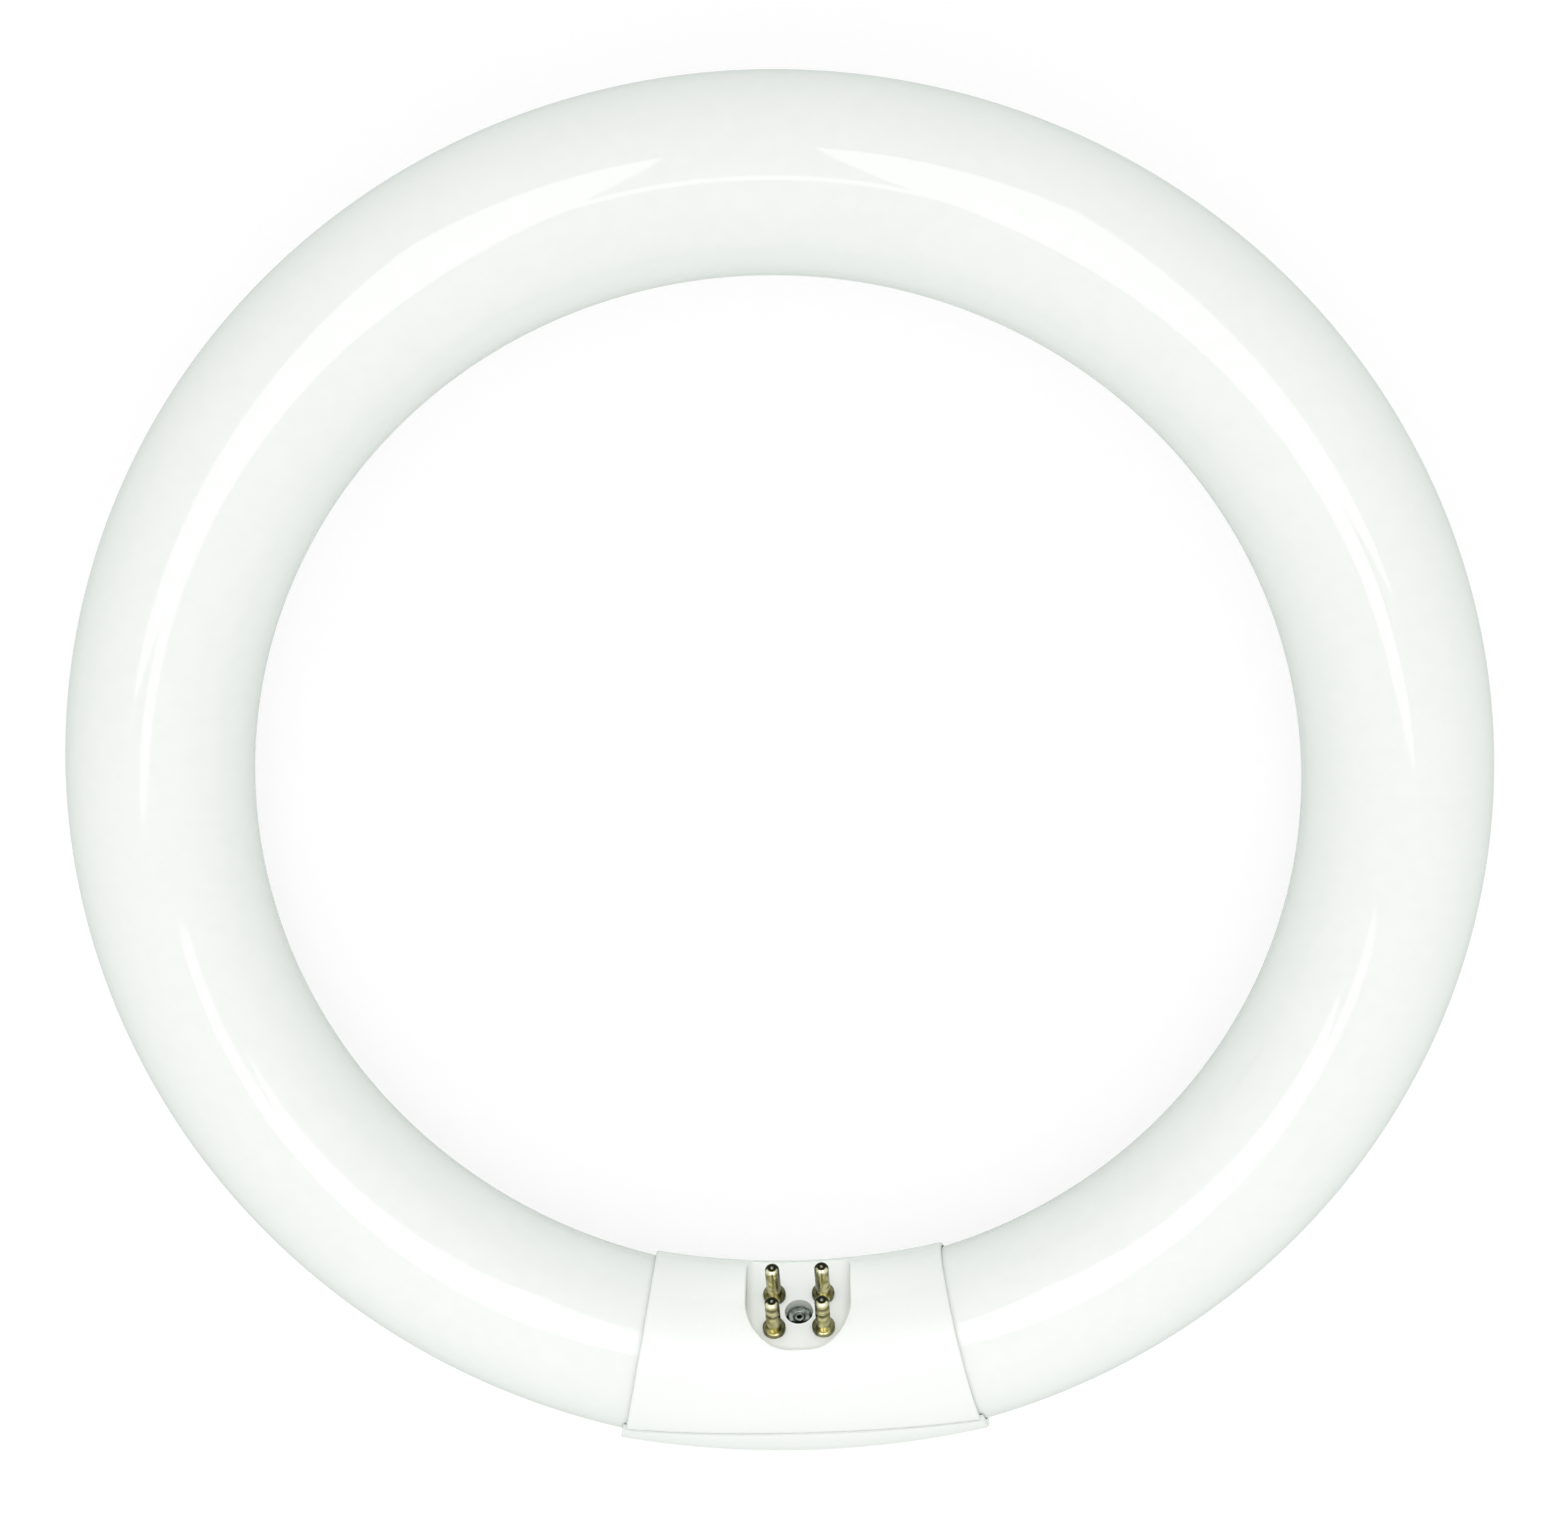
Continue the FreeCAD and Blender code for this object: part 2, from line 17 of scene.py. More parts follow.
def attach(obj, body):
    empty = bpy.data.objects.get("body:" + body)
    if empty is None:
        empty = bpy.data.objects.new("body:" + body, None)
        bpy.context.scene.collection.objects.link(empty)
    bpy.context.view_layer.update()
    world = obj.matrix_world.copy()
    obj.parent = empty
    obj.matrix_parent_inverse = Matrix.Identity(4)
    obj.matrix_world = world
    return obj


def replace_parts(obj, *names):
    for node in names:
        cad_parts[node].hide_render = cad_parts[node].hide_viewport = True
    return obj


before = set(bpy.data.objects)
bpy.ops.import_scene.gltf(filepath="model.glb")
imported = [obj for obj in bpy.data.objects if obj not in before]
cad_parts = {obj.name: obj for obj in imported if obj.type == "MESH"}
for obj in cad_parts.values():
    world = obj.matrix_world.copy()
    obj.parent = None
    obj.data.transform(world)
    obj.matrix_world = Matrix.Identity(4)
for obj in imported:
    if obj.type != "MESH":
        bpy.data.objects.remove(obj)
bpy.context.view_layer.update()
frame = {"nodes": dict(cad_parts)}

LOG = logging.getLogger("circular_lamp")
BODY = "root"

Colour = tuple[float, float, float, float]
Triple = tuple[float, float, float]
Pair = tuple[float, float]
Socket = bpy.types.NodeSocket
SocketValue = float | tuple[float, ...] | Socket
Sockets = dict[str | int, SocketValue]

UNIT: Pair = (0.0, 1.0)
WHITE: Colour = (1.0, 1.0, 1.0, 1.0)
RICH_DETAIL = 4.0
SOFT_DETAIL = 2.0
PLAIN_DETAIL = 1.0


class Slot(Enum):
    """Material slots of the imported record."""

    MILKY_GLASS = "milky_glass"
    WHITE_PLASTIC = "white_plastic"
    BRASS = "brass"
    STEEL = "steel"
    TINNED_WIRE = "tinned_wire"


class Side(Enum):
    """Which way along the tube a piece lies, as a sign of X."""

    LEFT = -1
    RIGHT = 1


class Row(Enum):
    """Which row of pins a piece belongs to, as a sign across the platform."""

    OUTER = -1
    INNER = 1


class Use(Enum):
    """What a light panel is for."""

    GLEAM = "gleam"
    FILL = "fill"


class Board:
    """Workbench for the nodes of one material."""

    MIX_FACTOR = 0
    MIX_COLOURS = (6, 7)
    MIX_RESULT = 2

    def __init__(self, name: str) -> None:
        """Starts an empty material.

        Args:
            name: Name of the material.
        """
        self.material = bpy.data.materials.new(name)
        self.material.use_nodes = True
        self.tree = self.material.node_tree
        self.tree.nodes.clear()
        self.output = self.tree.nodes.new("ShaderNodeOutputMaterial")

    def add(self, kind: str, sockets: Sockets, **settings: object) -> bpy.types.Node:
        """Adds a node and fills its sockets.

        Args:
            kind: Blender's name of the node type.
            sockets: Constant or incoming socket for each named or numbered input.
            **settings: Plain properties of the node.

        Returns:
            The new node.
        """
        node = self.tree.nodes.new(kind)
        for setting, value in settings.items():
            setattr(node, setting, value)
        for key, value in sockets.items():
            if isinstance(value, Socket):
                self.tree.links.new(value, node.inputs[key])
            else:
                node.inputs[key].default_value = value
        return node

    def place(self) -> Socket:
        """Point on the surface, in the part's own frame."""
        return self.add("ShaderNodeTexCoord", {}).outputs["Object"]

    def noise(self, place: Socket, scale: float, detail: float) -> Socket:
        """Cloudy values from 0 to 1.

        Args:
            place: Point that the pattern is read at.
            scale: Clouds per metre.
            detail: Octaves of finer clouds.

        Returns:
            The socket with the value.
        """
        sockets = {"Vector": place, "Scale": scale, "Detail": detail}
        return self.add("ShaderNodeTexNoise", sockets).outputs["Fac"]

    def remap(self, value: Socket, span: Pair, to: Pair = UNIT) -> Socket:
        """Value taken smoothly from one span to another.

        Args:
            value: Incoming value.
            span: Lowest and highest incoming value.
            to: What these two become.

        Returns:
            The socket with the new value.
        """
        sockets = {
            "Value": value,
            "From Min": span[0],
            "From Max": span[1],
            "To Min": to[0],
            "To Max": to[1],
        }
        node = self.add("ShaderNodeMapRange", sockets, interpolation_type="SMOOTHSTEP")
        return node.outputs["Result"]

    def blend(self, factor: Socket, first: SocketValue, second: SocketValue) -> Socket:
        """Colour between two colours.

        Args:
            factor: 0 for the first colour, 1 for the second.
            first: First colour.
            second: Second colour.

        Returns:
            The socket with the colour.
        """
        sockets = {self.MIX_FACTOR: factor, self.MIX_COLOURS[0]: first, self.MIX_COLOURS[1]: second}
        return self.add("ShaderNodeMix", sockets, data_type="RGBA").outputs[self.MIX_RESULT]

    def sums(self, first: SocketValue, second: SocketValue, operation: str = "ADD") -> Socket:
        """Result of one sum on two values.

        Args:
            first: First value.
            second: Second value.
            operation: Blender's name of the sum.

        Returns:
            The socket with the result.
        """
        return self.add("ShaderNodeMath", {0: first, 1: second}, operation=operation).outputs[0]

    def bump(self, height: Socket, depth: float, under: Socket | None = None) -> Socket:
        """Surface direction of a relief.

        Args:
            height: Relief from 0 to 1.
            depth: Depth of the relief in metres.
            under: Coarser relief that this one lies on.

        Returns:
            The socket with the direction.
        """
        sockets: Sockets = {"Height": height, "Strength": 1.0, "Distance": depth}
        if under is not None:
            sockets["Normal"] = under
        return self.add("ShaderNodeBump", sockets).outputs["Normal"]

    def surface(self, sockets: Sockets) -> bpy.types.Material:
        """Ends the material in one principled surface.

        Args:
            sockets: Its inputs.

        Returns:
            The finished material.
        """
        shader = self.add("ShaderNodeBsdfPrincipled", sockets)
        self.tree.links.new(shader.outputs["BSDF"], self.output.inputs["Surface"])
        return self.material


@dataclass(frozen=True)
class BaseFrame:
    """The base's own frame: X along the tube, Z along the pins, Y towards the ring's centre and down."""

    centre: Triple = (0.0, -0.0933, 0.0)
    lean: float = math.radians(66.0)

    def matrix(self) -> Matrix:
        """Matrix from the base's frame to the part's frame."""
        return Matrix.Translation(self.centre) @ Matrix.Rotation(-self.lean, 4, "X")

    def place(self, board: Board) -> Socket:
        """Point on the surface, in the base's frame.

        Args:
            board: Material that needs it.

        Returns:
            The socket with the point.
        """
        turn = Euler((self.lean, 0.0, 0.0))
        shift = -(turn.to_matrix() @ Vector(self.centre))
        sockets = {"Vector": board.place(), "Location": tuple(shift), "Rotation": tuple(turn)}
        return board.add("ShaderNodeMapping", sockets).outputs["Vector"]

    def split(self, board: Board) -> bpy.types.NodeOutputs:
        """Point on the surface, in the base's frame, as the three sockets X, Y and Z.

        Args:
            board: Material that needs it.

        Returns:
            The sockets, in metres.
        """
        return board.add("ShaderNodeSeparateXYZ", {"Vector": self.place(board)}).outputs


@dataclass(frozen=True)
class MilkyGlass:
    """White powder under glossy glass, which takes more light the longer the way through it."""

    dense_powder: Colour = (0.97, 0.98, 0.966, 1.0)
    thin_powder: Colour = (0.952, 0.965, 0.95, 1.0)
    clean_roughness: float = 0.025
    handled_roughness: float = 0.055
    glass_index: float = 1.5
    wall_tint: Colour = (0.918, 0.932, 0.921, 1.0)
    wall_index: float = 1.02
    cloud_scale: float = 26.0
    mottle_scale: float = 420.0
    ripple_scale: float = 38.0
    ripple_depth: float = 0.00005
    density_span: Pair = (0.7, 1.3)
    handled_span: Pair = (0.35, 0.7)

    def make(self) -> bpy.types.Material:
        """Makes the material."""
        board = Board("milky_glass")
        place = board.place()
        cloud = board.noise(place, self.cloud_scale, RICH_DETAIL)
        mottle = board.noise(place, self.mottle_scale, SOFT_DETAIL)
        density = board.remap(board.sums(cloud, mottle), self.density_span)
        roughness = (self.clean_roughness, self.handled_roughness)
        ripple = board.bump(board.noise(place, self.ripple_scale, PLAIN_DETAIL), self.ripple_depth)
        return board.surface(
            {
                "Base Color": board.blend(density, self.thin_powder, self.dense_powder),
                "Roughness": board.remap(cloud, self.handled_span, roughness),
                "IOR": self.glass_index,
                "Normal": ripple,
                "Coat Weight": 1.0,
                "Coat Roughness": self.clean_roughness,
                "Coat IOR": self.wall_index,
                "Coat Tint": self.wall_tint,
            }
        )


@dataclass(frozen=True)
class MouldedPlastic:
    """Glossy white moulded plastic with a faint orange peel and a skin that looks denser at a slant."""

    clean: Colour = (0.952, 0.964, 0.952, 1.0)
    dull: Colour = (0.935, 0.95, 0.935, 1.0)
    skin_tint: Colour = (0.947, 0.957, 0.948, 1.0)
    skin_index: float = 1.02
    polished: float = 0.2
    handled: float = 0.26
    cloud_scale: float = 70.0
    cloud_span: Pair = (0.15, 0.85)
    flow_scale: float = 320.0
    flow_depth: float = 0.000004
    peel_scale: float = 1500.0
    peel_depth: float = 0.0000015

    def make(self) -> bpy.types.Material:
        """Makes the material."""
        board = Board("moulded_plastic")
        place = board.place()
        cloud = board.remap(board.noise(place, self.cloud_scale, SOFT_DETAIL), self.cloud_span)
        flow = board.bump(board.noise(place, self.flow_scale, SOFT_DETAIL), self.flow_depth)
        peel = board.bump(board.noise(place, self.peel_scale, PLAIN_DETAIL), self.peel_depth, flow)
        return board.surface(
            {
                "Base Color": board.blend(cloud, self.clean, self.dull),
                "Roughness": board.remap(cloud, UNIT, (self.polished, self.handled)),
                "Normal": peel,
                "Coat Weight": 1.0,
                "Coat Roughness": self.polished,
                "Coat IOR": self.skin_index,
                "Coat Tint": self.skin_tint,
            }
        )


@dataclass(frozen=True)
class TurnedBrass:
    """Turned brass with tool lines and tarnish; a painted highlight under the end; painted shade and
    dark reflections on end, sides, collar and crimps.
    """

    frame: BaseFrame
    along: float
    across: float
    crimps: tuple[float, ...]
    bright: Colour = (0.62, 0.58, 0.32, 1.0)
    tarnish: Colour = (0.34, 0.31, 0.1, 1.0)
    # Pale brass painted as a highlight on the rounding under the end.
    painted_highlight: Colour = (0.76, 0.74, 0.5, 1.0)
    # Near-black painted where shade and dark reflections fall on the pin.
    painted_dark: Colour = (0.02, 0.022, 0.008, 1.0)
    highlight_span: Pair = (0.01815, 0.0184)
    end_span: Pair = (0.01878, 0.01886)
    cap_span: Pair = (0.0181, 0.0184)
    far_span: Pair = (-0.00045, -0.00005)
    # Painted dark reflections along the shank's inner and outer sides.
    inner_span: Pair = (-0.0004, -0.0011)
    inner_share: float = 0.85
    outer_span: Pair = (0.0008, 0.00125)
    outer_share: float = 0.7
    # Painted shade on the collar and the foot of the shank.
    collar_span: Pair = (0.01215, 0.01195)
    collar_share: float = 0.55
    # Painted shade in the crimp grooves of the outer pins.
    crimp_span: Pair = (0.0005, 0.00015)
    crimp_row: Pair = (-0.001, -0.0015)
    crimp_share: float = 0.7
    polished: float = 0.14
    worn: float = 0.34
    patch_scale: float = 900.0
    patch_span: Pair = (0.4, 0.68)
    line_scale: float = 2600.0
    line_depth: float = 0.000003
    line_wobble: float = 0.6

    def painted_dark_mask(self, board: Board) -> Socket:
        """How much painted shade and dark reflection lies on each place of the pin.

        Args:
            board: Material that needs it.

        Returns:
            The socket with a value from 0 to 1.
        """
        split = self.frame.split(board)
        outward = board.sums(board.sums(split["X"], 0.0, "ABSOLUTE"), self.along, "SUBTRACT")
        axis = board.sums(board.sums(split["Y"], 0.0, "SIGN"), self.across, "MULTIPLY")
        # Painted dark reflection on the far side of the rounded end.
        far = board.remap(board.sums(split["Y"], axis, "SUBTRACT"), self.far_span)
        cap = board.sums(board.remap(split["Z"], self.cap_span), far, "MULTIPLY")
        # Painted dark reflection over the end face.
        dark = board.sums(board.remap(split["Z"], self.end_span), cap, "MAXIMUM")
        # Painted dark reflections on the shank's sides and painted shade by the collar.
        spans = [
            (outward, self.inner_span, self.inner_share),
            (outward, self.outer_span, self.outer_share),
            (split["Z"], self.collar_span, self.collar_share),
        ]
        for value, span, share in spans:
            dark = board.sums(dark, board.remap(value, span, (0.0, share)), "MAXIMUM")
        # Painted shade in the crimp grooves, on the outer row only.
        row = board.remap(split["Y"], self.crimp_row, (0.0, self.crimp_share))
        for height in self.crimps:
            off = board.sums(board.sums(split["Z"], height, "SUBTRACT"), 0.0, "ABSOLUTE")
            groove = board.sums(board.remap(off, self.crimp_span), row, "MULTIPLY")
            dark = board.sums(dark, groove, "MAXIMUM")
        return dark

    def make(self) -> bpy.types.Material:
        """Makes the material."""
        board = Board("turned_brass")
        place = self.frame.place(board)
        patch = board.remap(board.noise(place, self.patch_scale, RICH_DETAIL), self.patch_span)
        # Painted highlight: paler brass over the rounding under the end.
        highlight = board.remap(self.frame.split(board)["Z"], self.highlight_span)
        metal = board.blend(highlight, board.blend(patch, self.bright, self.tarnish), self.painted_highlight)
        lines = board.add(
            "ShaderNodeTexWave",
            {
                "Vector": place,
                "Scale": self.line_scale,
                "Distortion": self.line_wobble,
                "Detail": SOFT_DETAIL,
            },
            wave_type="BANDS",
            bands_direction="Z",
        )
        return board.surface(
            {
                "Base Color": board.blend(self.painted_dark_mask(board), metal, self.painted_dark),
                "Metallic": 1.0,
                "Roughness": board.remap(patch, UNIT, (self.polished, self.worn)),
                "Normal": board.bump(lines.outputs["Fac"], self.line_depth),
            }
        )


@dataclass(frozen=True)
class RivetSteel:
    """Dull steel with rolled marks, with painted shade round its rim and along its lower side."""

    frame: BaseFrame
    bare: Colour = (0.36, 0.4, 0.36, 1.0)
    dark: Colour = (0.14, 0.16, 0.14, 1.0)
    # Near-black painted where the recess shades the head.
    painted_shade: Colour = (0.012, 0.016, 0.012, 1.0)
    rim_span: Pair = (0.00155, 0.0018)
    rim_end: Pair = (0.0008, 0.0)
    low_span: Pair = (-0.00065, -0.0009)
    polished: float = 0.22
    dull: float = 0.45
    patch_scale: float = 1100.0
    patch_span: Pair = (0.38, 0.66)
    dent_scale: float = 2300.0
    dent_depth: float = 0.00002

    def make(self) -> bpy.types.Material:
        """Makes the material."""
        board = Board("rivet_steel")
        place = self.frame.place(board)
        split = self.frame.split(board)
        patch = board.remap(board.noise(place, self.patch_scale, RICH_DETAIL), self.patch_span)
        across = [board.sums(split[axis], 2.0, "POWER") for axis in ("X", "Y")]
        radius = board.sums(board.sums(*across), 0.5, "POWER")
        # Painted shade round the rim of the head, except at its upper side.
        rim = board.remap(radius, self.rim_span)
        rim = board.sums(rim, board.remap(split["Y"], self.rim_end), "MULTIPLY")
        # Painted shade along the lower side of the head.
        low = board.remap(split["Y"], self.low_span)
        worn = board.blend(patch, self.bare, self.dark)
        return board.surface(
            {
                "Base Color": board.blend(board.sums(rim, low, "MAXIMUM"), worn, self.painted_shade),
                "Metallic": 1.0,
                "Roughness": board.remap(patch, UNIT, (self.polished, self.dull)),
                "Normal": board.bump(board.noise(place, self.dent_scale, SOFT_DETAIL), self.dent_depth),
            }
        )


@dataclass(frozen=True)
class TinnedMetal:
    """Tin or solder, soft grey with slight clouds."""

    name: str
    fresh: Colour = (0.72, 0.71, 0.67, 1.0)
    aged: Colour = (0.5, 0.49, 0.45, 1.0)
    polished: float = 0.25
    dull: float = 0.5
    patch_scale: float = 1400.0
    patch_span: Pair = (0.35, 0.65)
    skin_depth: float = 0.000008

    def make(self) -> bpy.types.Material:
        """Makes the material."""
        board = Board(self.name)
        place = board.place()
        patch = board.remap(board.noise(place, self.patch_scale, RICH_DETAIL), self.patch_span)
        return board.surface(
            {
                "Base Color": board.blend(patch, self.fresh, self.aged),
                "Metallic": 1.0,
                "Roughness": board.remap(patch, UNIT, (self.polished, self.dull)),
                "Normal": board.bump(patch, self.skin_depth),
            }
        )


@dataclass(frozen=True)
class PaleFloor:
    """Matt pale floor that the camera and reflections see as white, with the lamp's soft shadow."""

    paint: Colour = (0.9, 0.9, 0.9, 1.0)
    shadow_share: Colour = (0.24, 0.24, 0.24, 1.0)
    lift: float = 0.78

    def make(self) -> bpy.types.Material:
        """Makes the material."""
        board = Board("pale_floor")
        rays = board.add("ShaderNodeLightPath", {}).outputs
        seen = board.sums(rays["Is Camera Ray"], rays["Is Glossy Ray"], "MAXIMUM")
        seen = board.sums(seen, rays["Is Transmission Ray"], "MAXIMUM")
        paint = board.add("ShaderNodeBsdfDiffuse", {"Color": self.paint}).outputs["BSDF"]
        shaded = board.add("ShaderNodeBsdfDiffuse", {"Color": self.shadow_share}).outputs["BSDF"]
        lifted = board.add("ShaderNodeEmission", {"Strength": self.lift}).outputs["Emission"]
        white = board.add("ShaderNodeAddShader", {0: shaded, 1: lifted}).outputs["Shader"]
        both = board.add("ShaderNodeMixShader", {0: seen, 1: paint, 2: white}).outputs["Shader"]
        board.tree.links.new(both, board.output.inputs["Surface"])
        return board.material


def shade_smooth(bm: bmesh.types.BMesh, sharp_angle: float) -> None:
    """Shades a mesh smooth, except over its sharp edges.

    Args:
        bm: Mesh to shade.
        sharp_angle: Angle between two faces from which their edge stays sharp, in radians.
    """
    for face in bm.faces:
        face.smooth = True
    for edge in bm.edges:
        edge.smooth = edge.calc_face_angle(0.0) < sharp_angle


def finish_piece(
    bm: bmesh.types.BMesh,
    name: str,
    material: bpy.types.Material,
) -> bpy.types.Object:
    """Turns a mesh into a piece of the lamp that rides on its body.

    Args:
        bm: Mesh in the part's frame, freed here.
        name: Name of the piece.
        material: Its finish.

    Returns:
        The new object.
    """
    mesh = bpy.data.meshes.new(name)
    bm.to_mesh(mesh)
    bm.free()
    mesh.materials.append(material)
    piece = bpy.data.objects.new(name, mesh)
    bpy.context.scene.collection.objects.link(piece)
    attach(piece, BODY)
    LOG.info("made %s, %d faces", name, len(mesh.polygons))
    return piece


def dress_node(name: str, material: bpy.types.Material) -> None:
    """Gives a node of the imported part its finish.

    Args:
        name: Name of the node.
        material: Its finish.
    """
    node = frame["nodes"][name]
    node.material_slots[0].material = material
    LOG.info("dressed %s in %s", name, material.name)


@dataclass
class GlassRing:
    """Ring of coated tube with a rounded end, a flared stem and a sealed exhaust tip on each side."""

    ring_radius: float = 0.094
    tube_radius: float = 0.01393
    end_reach: float = 0.01345
    edge_round: float = 0.0016
    round_steps: int = 5
    mouth_radius: float = 0.0087
    throat_radius: float = 0.0045
    stem_depth: float = 0.014
    exhaust_radius: float = 0.0019
    exhaust_reach: float = 0.0045
    section_steps: int = 96
    ring_steps: int = 420
    sharp_angle: float = math.radians(50.0)

    def end_angle(self) -> float:
        """Angle from the middle of the base to where the round of a glass end starts."""
        return math.asin(self.end_reach / self.ring_radius) + self.edge_round / self.ring_radius

    def end_profile(self) -> list[Pair]:
        """Distance out of the glass end and radius, from the round of the edge to the exhaust tip.

        Returns:
            The stations in order.
        """
        stations = []
        for step in range(1, self.round_steps + 1):
            turn = math.pi / 2 * step / self.round_steps
            radius = self.tube_radius - self.edge_round * (1 - math.cos(turn))
            stations.append((self.edge_round * (math.sin(turn) - 1), radius))
        stations.append((0.0, self.mouth_radius))
        stations.append((-self.stem_depth, self.throat_radius))
        stations.append((-self.stem_depth, self.exhaust_radius))
        stations.append((self.exhaust_reach, self.exhaust_radius))
        for step in range(1, self.round_steps):
            turn = math.pi / 2 * step / self.round_steps
            reach = self.exhaust_reach + self.exhaust_radius * math.sin(turn)
            stations.append((reach, self.exhaust_radius * math.cos(turn)))
        return stations

    def close_end(self, bm: bmesh.types.BMesh, loop: list[bmesh.types.BMEdge], side: Side) -> None:
        """Draws one open end of the tube through its profile and closes it.

        Args:
            bm: Mesh of the tube.
            loop: Edges of the open end.
            side: Which end it is.
        """
        angle = self.end_angle()
        middle = Vector((side.value * math.sin(angle), -math.cos(angle), 0.0)) * self.ring_radius
        outward = Vector((-side.value * math.cos(angle), -math.sin(angle), 0.0))
        reach, radius = -self.edge_round, self.tube_radius
        for next_reach, next_radius in self.end_profile():
            made = bmesh.ops.extrude_edge_only(bm, edges=loop)["geom"]
            loop = [item for item in made if isinstance(item, bmesh.types.BMEdge) and item.is_boundary]
            verts = [item for item in made if isinstance(item, bmesh.types.BMVert)]
            step = outward * (next_reach - reach)
            grow = Matrix.Scale(next_radius / radius, 4)
            move = Matrix.Translation(middle + step) @ grow @ Matrix.Translation(-middle)
            bmesh.ops.transform(bm, matrix=move, verts=verts)
            middle = middle + step
            reach, radius = next_reach, next_radius
        bmesh.ops.contextual_create(bm, geom=loop)

    def build(self, glass: bpy.types.Material) -> bpy.types.Object:
        """Models the tube.

        Args:
            glass: Its finish.

        Returns:
            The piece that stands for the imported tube.
        """
        bm = bmesh.new()
        start = self.end_angle()
        reach = Matrix.Translation((self.ring_radius, 0.0, 0.0))
        upright = Matrix.Rotation(start - math.pi / 2, 4, "Z") @ reach
        stand = Matrix.Rotation(math.pi / 2, 4, "X")
        bmesh.ops.create_circle(
            bm,
            segments=self.section_steps,
            radius=self.tube_radius,
            matrix=upright @ stand,
        )
        first = bm.edges[:]
        last = bmesh.ops.spin(
            bm,
            geom=bm.verts[:] + first,
            cent=(0.0, 0.0, 0.0),
            axis=(0.0, 0.0, 1.0),
            angle=2 * math.pi - 2 * start,
            steps=self.ring_steps,
        )["geom_last"]
        self.close_end(bm, first, Side.RIGHT)
        self.close_end(bm, [item for item in last if isinstance(item, bmesh.types.BMEdge)], Side.LEFT)
        bmesh.ops.recalc_face_normals(bm, faces=bm.faces)
        shade_smooth(bm, self.sharp_angle)
        piece = finish_piece(bm, "milky_tube", glass)
        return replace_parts(piece, "glass_tube")


@dataclass
class MouldedBase:
    """The two shells of the base and the rivet that clamps them, with a rolled lip in its mouth."""

    frame: BaseFrame
    lip_radius: float = 0.0006
    lip_wire: float = 0.00024
    lip_height: float = 0.00993
    lip_steps: int = 24
    turn_steps: int = 64
    sharp_angle: float = math.radians(50.0)

    def build_lip(self, steel: bpy.types.Material) -> bpy.types.Object:
        """Turns the lip that narrows the rivet's mouth.

        Args:
            steel: Its finish.

        Returns:
            The new piece.
        """
        bm = bmesh.new()
        reach = Matrix.Translation((self.lip_radius, 0.0, self.lip_height))
        stand = reach @ Matrix.Rotation(math.pi / 2, 4, "X")
        bmesh.ops.create_circle(bm, segments=self.lip_steps, radius=self.lip_wire, matrix=stand)
        bmesh.ops.spin(
            bm,
            geom=bm.verts[:] + bm.edges[:],
            axis=(0.0, 0.0, 1.0),
            angle=2 * math.pi,
            steps=self.turn_steps,
            use_merge=True,
        )
        bmesh.ops.recalc_face_normals(bm, faces=bm.faces)
        shade_smooth(bm, self.sharp_angle)
        bmesh.ops.transform(bm, matrix=self.frame.matrix(), verts=bm.verts)
        return finish_piece(bm, "rivet_lip", steel)

    def build(self) -> None:
        """Gives the shells and the rivet their finishes and adds the lip."""
        plastic = MouldedPlastic().make()
        steel = RivetSteel(self.frame).make()
        dress_node("base_pin_shell", plastic)
        dress_node("base_cover_shell", plastic)
        dress_node("base_rivet", steel)
        self.build_lip(steel)


